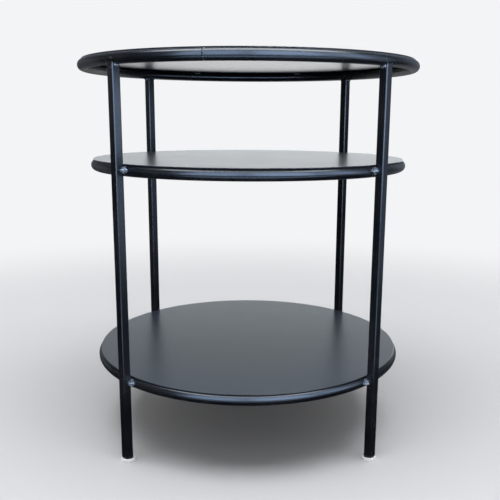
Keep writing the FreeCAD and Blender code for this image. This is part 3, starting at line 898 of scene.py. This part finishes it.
def lay_beads(context, tier, kind, stands_for, paths, seed, changes):
    """Grow one piece of a tier's beads along its paths, with spatter on the tier's ring and the legs."""
    weld = context.scene.side_table_weld
    steel = bpy.data.collections.new(f"{tier}_steel")
    for node in (f"{tier}_ring", *(f"leg_{leg}" for leg in LEG_TURNS)):
        steel.objects.link(frame["nodes"][node])
    values = {
        "Puddle Radius": weld.radius,
        "Puddle Pitch": weld.pitch,
        "Puddle Depth": weld.depth,
        "Taper": weld.taper,
        "Wobble": weld.wobble,
        "Lumpiness": weld.lumpiness,
        "Lump Size": weld.lump_size,
        "Voxel": weld.voxel,
        "Spatter Count": weld.spatter_count,
        "Spatter Reach": weld.spatter_reach,
        "Spatter Radius": weld.spatter_radius,
        "Steel": steel,
        "Material": weld_material(context.scene.side_table_coat),
        "Seed": seed,
        **changes,
    }
    tree = bpy.data.node_groups.get("weld_bead") or weld_bead()
    piece = grow(paths_object(f"{tier}_{kind}", paths), tree, values)
    bpy.data.collections.remove(steel)
    finish_piece(piece, f"{tier}_{stands_for}")


class SIDETABLE_OT_leg_welds(bpy.types.Operator):
    """Lay the lumpy beads that join the rings to the legs"""

    bl_idname = "side_table.leg_welds"
    bl_label = "Weld Legs"

    def execute(self, context):
        weld = context.scene.side_table_weld
        for seed, tier in enumerate(TIERS, start=SEEDS["leg"]):
            changes = {"Puddle Radius": weld.top_radius} if tier == "top" else {}
            lay_beads(context, tier, "leg_beads", "leg_welds", leg_bead_paths(tier, weld), seed, changes)
        return {"FINISHED"}


def leg_bead_paths(tier, weld):
    """Two short runs at every leg: up the corner beside a shelf ring, or inwards under the top ring."""
    ring = RINGS[tier]
    if tier == "top":
        beside = LEG_HALF_WIDTH
        ends = [(ring.radius + share * weld.run, ring.height - ring.tube) for share in (-0.5, 0.5)]
    else:
        beside = LEG_HALF_WIDTH + weld.offset
        middle = ring.height + weld.rise
        ends = [(ring.radius + ring.tube, middle + share * weld.run) for share in (-0.5, 0.5)]
    paths = []
    for turn in LEG_TURNS.values():
        spin = Matrix.Rotation(math.radians(turn), 3, "Z")
        for side in (-1, 1):
            paths.append([spin @ Vector((out, side * beside, up)) for out, up in ends])
    return paths


class SIDETABLE_OT_disc_welds(bpy.types.Operator):
    """Lay the stitch welds that hold each disc on its ring from below"""

    bl_idname = "side_table.disc_welds"
    bl_label = "Weld Discs"

    def execute(self, context):
        weld = context.scene.side_table_weld
        changes = {"Puddle Radius": weld.stitch_radius, "Lumpiness": weld.stitch_lumpiness, "Spatter Count": 1}
        for seed, tier in enumerate(TIERS, start=SEEDS["disc"]):
            lay_beads(context, tier, "disc_beads", "panel_welds", stitch_paths(tier, weld), seed, changes)
        return {"FINISHED"}


def stitch_paths(tier, weld):
    """Short arcs in the corner between a disc's underside and its ring's inner flank."""
    ring = RINGS[tier]
    radius = ring.radius - weld.stitch_inset
    height = ring.height + ring.tube - weld.stitch_drop
    half_turn = weld.stitch_run / radius / 2
    paths = []
    for stitch in range(STITCH_COUNT):
        middle = STITCH_START + 2 * math.pi * stitch / STITCH_COUNT
        paths.append([around(radius, middle + share * half_turn, height) for share in (-1, 0, 1)])
    return paths


class SIDETABLE_OT_ring_seams(bpy.types.Operator):
    """Lay the butt weld that closes each bent ring, ground smooth and coated like the tube"""

    bl_idname = "side_table.ring_seams"
    bl_label = "Close Rings"

    def execute(self, context):
        coat = context.scene.side_table_coat
        weld = context.scene.side_table_weld
        dressed = powder_coat("powder_coated_seam_look", coat.colour, coat, coat.tube_roughness, coat.weld_relief)
        changes = {
            "Puddle Radius": weld.seam_radius,
            "Taper": 0.0,
            "Wobble": weld.seam_wobble,
            "Lumpiness": weld.seam_lumpiness,
            "Spatter Count": 1,
            "Spatter Reach": weld.seam_spatter_reach,
            "Material": dressed,
        }
        for seed, tier in enumerate(TIERS, start=SEEDS["seam"]):
            lay_beads(context, tier, "seam_bead", "ring_seam", [seam_path(tier, weld)], seed, changes)
        return {"FINISHED"}


def seam_path(tier, weld):
    """Run round the tube at the ring's gap, open where the disc lies on it."""
    ring = RINGS[tier]
    run_radius = ring.tube + weld.seam_crown - weld.seam_radius
    points = []
    for step in range(SEAM_STEPS + 1):
        lift = math.pi / 2 + weld.seam_opening + (2 * math.pi - 2 * weld.seam_opening) * step / SEAM_STEPS
        out = ring.radius + run_radius * math.cos(lift)
        points.append(around(out, ring.seam_turn, ring.height + run_radius * math.sin(lift)))
    return points


class SIDETABLE_OT_feet(bpy.types.Operator):
    """Press the felt pads and colour the plugs that carry them"""

    bl_idname = "side_table.feet"
    bl_label = "Make Feet"

    def execute(self, context):
        look = context.scene.side_table_foot
        felt = pressed_felt("pressed_felt_look", look)
        plastic = moulded_plastic("moulded_plastic_look", look)
        tree = felt_nap()
        for seed, leg in enumerate(LEG_TURNS, start=1):
            dress_node(f"leg_plug_{leg}", plastic)
            low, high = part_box(f"foot_pad_{leg}")
            centre = Vector(((low.x + high.x) / 2, (low.y + high.y) / 2, low.z))
            outline = pad_outline((high.x - low.x) / 2, high.z - low.z, look)
            piece = lathe_object(f"felt_pad_{leg}", outline, centre, PAD_SEGMENTS)
            values = {
                "Unevenness": look.unevenness,
                "Tuft Size": look.tuft_size,
                "Fibre Length": look.fibre_length,
                "Fibre Radius": look.fibre_radius,
                "Fibres": look.fibres,
                "Material": felt,
                "Seed": seed,
            }
            finish_piece(grow(piece, tree, values), f"foot_pad_{leg}")
        return {"FINISHED"}


def pad_outline(radius, thickness, look):
    """Half section of a disc that a leg has pressed down inside its rim, from its lower face to its upper face."""
    edge = look.edge_radius
    lower = [(edge, step * PAD_EDGE_STEP) for step in range(-4, 1)]
    upper = [(thickness + look.rim - edge, step * PAD_EDGE_STEP) for step in range(9)]
    outline = [(radius * share, 0.0) for share in PAD_FACE_RINGS]
    for centre_height, lift in lower + upper:
        outline.append((radius - edge + edge * math.cos(lift), centre_height + edge * math.sin(lift)))
    outline += [(radius * share, thickness) for share in reversed(PAD_FACE_RINGS)]
    return outline


class SIDETABLE_OT_stage(bpy.types.Operator):
    """Set the pale floor, the soft light and the camera"""

    bl_idname = "side_table.stage"
    bl_label = "Set Stage"

    def execute(self, context):
        look = context.scene.side_table_stage
        make_floor(look)
        make_world(look)
        make_flags(look)
        make_lamps(look)
        make_camera(look)
        context.scene.view_settings.view_transform = "Standard"
        return {"FINISHED"}


def flat_object(name, corners):
    """New object of one four-sided face, and the tree, shader and Object coordinates of its material."""
    mesh = bpy.data.meshes.new(name)
    mesh.from_pydata(corners, [], [(0, 1, 2, 3)])
    material, tree, shader, place = new_material(name)
    mesh.materials.append(material)
    return link_object(name, mesh), tree, shader, place


def make_floor(look):
    """Wide matt floor that fades into the backdrop far from the table."""
    half = look.floor_reach
    corners = [(-half, -half, 0), (half, -half, 0), (half, half, 0), (-half, half, 0)]
    floor, tree, shader, place = flat_object("floor", corners)
    feed(tree, shader, {"Base Color": (*look.floor_colour, 1.0), "Roughness": 0.9, "Specular IOR Level": 0.1})
    away = add_node(tree, "ShaderNodeVectorMath", {0: place}, operation="LENGTH").outputs["Value"]
    fade = ease(tree, away, (look.fade_start, look.fade_end), curve="SMOOTHERSTEP")
    gloss = maths(tree, "MULTIPLY", gloss_strength(tree, place, look), look.floor_gloss)
    glow = {"Color": (*look.backdrop_colour, 1.0), "Strength": unless_camera(tree, gloss, 1.0)}
    far = add_node(tree, "ShaderNodeEmission", glow)
    share = maths(tree, "MULTIPLY", fade, seen_rays(tree))
    show(tree, add_node(tree, "ShaderNodeMixShader", {0: share, 1: shader.outputs[0], 2: far.outputs[0]}))


def seen_rays(tree):
    """1 for rays that show the background, in the camera, in gloss or through glass."""
    rays = add_node(tree, "ShaderNodeLightPath").outputs
    seen = maths(tree, "MAXIMUM", rays["Is Camera Ray"], rays["Is Glossy Ray"])
    return maths(tree, "MAXIMUM", seen, rays["Is Transmission Ray"])


def unless_camera(tree, value, camera_value):
    """Number that camera rays see as another one."""
    camera = add_node(tree, "ShaderNodeLightPath").outputs["Is Camera Ray"]
    rest = maths(tree, "MULTIPLY", maths(tree, "SUBTRACT", 1.0, camera), value)
    return maths(tree, "MULTIPLY_ADD", camera, camera_value, rest)


def gloss_strength(tree, direction, look):
    """Strength of the backdrop in gloss: bright low down behind the table, dimmer at the sides and high up."""
    x, y, z = split(tree, direction)
    turn = maths(tree, "SUBTRACT", maths(tree, "ARCTAN2", x, y), BACKDROP_AIM)
    beside = ease(tree, maths(tree, "ABSOLUTE", turn), BACKDROP_TURN, look.gloss_gain, look.side_gloss)
    above = ease(tree, z, BACKDROP_RISE, 1.0, look.high_gloss)
    return maths(tree, "MULTIPLY", beside, above)


def make_world(look):
    """Even dome of light behind a pale backdrop, which gloss shows too, cooler high up."""
    world = bpy.data.worlds.new("studio")
    bpy.context.scene.world = world
    world.use_nodes = True
    tree = world.node_tree
    tree.nodes.clear()
    dome = add_node(tree, "ShaderNodeBackground", {"Color": (1.0, 1.0, 1.0, 1.0), "Strength": look.dome})
    direction = add_node(tree, "ShaderNodeTexCoord").outputs["Generated"]
    cool = unless_camera(tree, ease(tree, split(tree, direction)[2], BACKDROP_RISE), 0.0)
    sky = {
        "Color": blend(tree, cool, (*look.backdrop_colour, 1.0), (*look.high_colour, 1.0)),
        "Strength": unless_camera(tree, gloss_strength(tree, direction, look), 1.0),
    }
    backdrop = add_node(tree, "ShaderNodeBackground", sky)
    mix = add_node(tree, "ShaderNodeMixShader", {0: seen_rays(tree), 1: dome.outputs[0], 2: backdrop.outputs[0]})
    add_node(tree, "ShaderNodeOutputWorld", {"Surface": mix.outputs[0]})


def make_flags(look):
    """Dark cards round the table, shown only by gloss, so that black steel keeps its depth."""
    left, right, front, back = FLOOR_FLAG
    corners = ((left, front), (right, front), (right, back), (left, back))
    flag_card("floor_flag", [(x, y, FLAG_LIFT) for x, y in corners], look)
    for name, (x, front, back, top) in SIDE_FLAGS.items():
        flag_card(name, [(x, front, 0), (x, back, 0), (x, back, top), (x, front, top)], look)


def flag_card(name, corners, look):
    """Flat card that is all but black low down and grows paler with height."""
    card, tree, shader, place = flat_object(name, corners)
    tree.nodes.remove(shader)
    pale = ease(tree, split(tree, place)[2], FLAG_FADE, look.flag_shade, look.flag_top, "LINEAR")
    show(tree, add_node(tree, "ShaderNodeEmission", {"Color": (*look.backdrop_colour, 1.0), "Strength": pale}))
    card.visible_camera = False
    card.visible_diffuse = False
    card.visible_shadow = False
    card.visible_transmission = False


def make_lamps(look):
    """Soft top light, and cards that only gloss shows: one over the table, and cool ones in front and at the right."""
    spared = discs_spared()
    for box in SOFTBOXES:
        strength = look.window_strength if box.gloss_only else look.top_strength
        data = bpy.data.lights.new(box.name, "AREA")
        data.shape = "RECTANGLE"
        data.size = box.width
        data.size_y = box.height
        data.energy = AREA_WATTS * box.width * box.height * strength * box.share
        data.color = look.window_colour if box.cool else look.top_colour
        lamp = bpy.data.objects.new(box.name, data)
        lamp.visible_camera = False
        lamp.visible_diffuse = not box.gloss_only
        bpy.context.scene.collection.objects.link(lamp)
        aim = (Vector(box.target) - Vector(box.place)).to_track_quat("-Z", "Y").to_matrix().to_4x4()
        lamp.matrix_world = Matrix.Translation(box.place) @ aim
        if box.cool:
            lamp.light_linking.receiver_collection = spared


def discs_spared():
    """Collection that keeps a lamp off the discs, which would mirror it whole from behind."""
    spared = bpy.data.collections.new("discs_spared")
    for tier in TIERS:
        spared.objects.link(frame["nodes"][f"{tier}_panel"])
    for member in spared.collection_objects:
        member.light_linking.link_state = "EXCLUDE"
    return spared


def make_camera(look):
    """Camera a little above the middle shelf, looking slightly down."""
    data = bpy.data.cameras.new("camera")
    data.lens = look.camera_lens
    data.shift_x, data.shift_y = look.camera_shift
    camera = bpy.data.objects.new("camera", data)
    bpy.context.scene.collection.objects.link(camera)
    ahead = Vector((math.sin(look.camera_pan), math.cos(look.camera_pan), 0.0))
    forward = ahead * math.cos(look.camera_pitch) - Vector((0.0, 0.0, math.sin(look.camera_pitch)))
    right = Vector((ahead.y, -ahead.x, 0.0))
    level = Matrix((right, right.cross(forward), -forward)).transposed().to_4x4()
    place = Matrix.Translation((0.0, -look.camera_distance, look.camera_height))
    orbit = Matrix.Rotation(look.camera_orbit, 4, "Z")
    camera.matrix_world = orbit @ place @ level @ Matrix.Rotation(look.camera_roll, 4, "Z")
    bpy.context.scene.camera = camera


# ---------------------------------------------------------------- panel and main

OPERATORS = (
    SIDETABLE_OT_stage,
    SIDETABLE_OT_coat_steel,
    SIDETABLE_OT_leg_welds,
    SIDETABLE_OT_disc_welds,
    SIDETABLE_OT_ring_seams,
    SIDETABLE_OT_feet,
)
LOOKS = {
    "side_table_coat": CoatLook,
    "side_table_weld": WeldLook,
    "side_table_foot": FootLook,
    "side_table_stage": StageLook,
}


class SIDETABLE_PT_panel(bpy.types.Panel):
    """Pieces and finishes of the side table"""

    bl_idname = "SIDETABLE_PT_panel"
    bl_label = "Side Table"
    bl_space_type = "VIEW_3D"
    bl_region_type = "UI"
    bl_category = "Side Table"

    def draw(self, context):
        for operator in OPERATORS:
            self.layout.operator(operator.bl_idname)
        for name, look in LOOKS.items():
            box = self.layout.box()
            for key in look.__annotations__:
                box.prop(getattr(context.scene, name), key)


CLASSES = (*LOOKS.values(), *OPERATORS, SIDETABLE_PT_panel)


def register():
    """Add the classes, and the looks to the scene."""
    for item in CLASSES:
        bpy.utils.register_class(item)
    for name, look in LOOKS.items():
        setattr(bpy.types.Scene, name, PointerProperty(type=look))


def unregister():
    """Take away what register adds."""
    for name in LOOKS:
        delattr(bpy.types.Scene, name)
    for item in reversed(CLASSES):
        bpy.utils.unregister_class(item)


def main():
    """Make every piece in turn."""
    register()
    bpy.ops.side_table.stage()
    bpy.ops.side_table.coat_steel()
    bpy.ops.side_table.leg_welds()
    bpy.ops.side_table.disc_welds()
    bpy.ops.side_table.ring_seams()
    bpy.ops.side_table.feet()


if __name__ == "__main__":
    main()
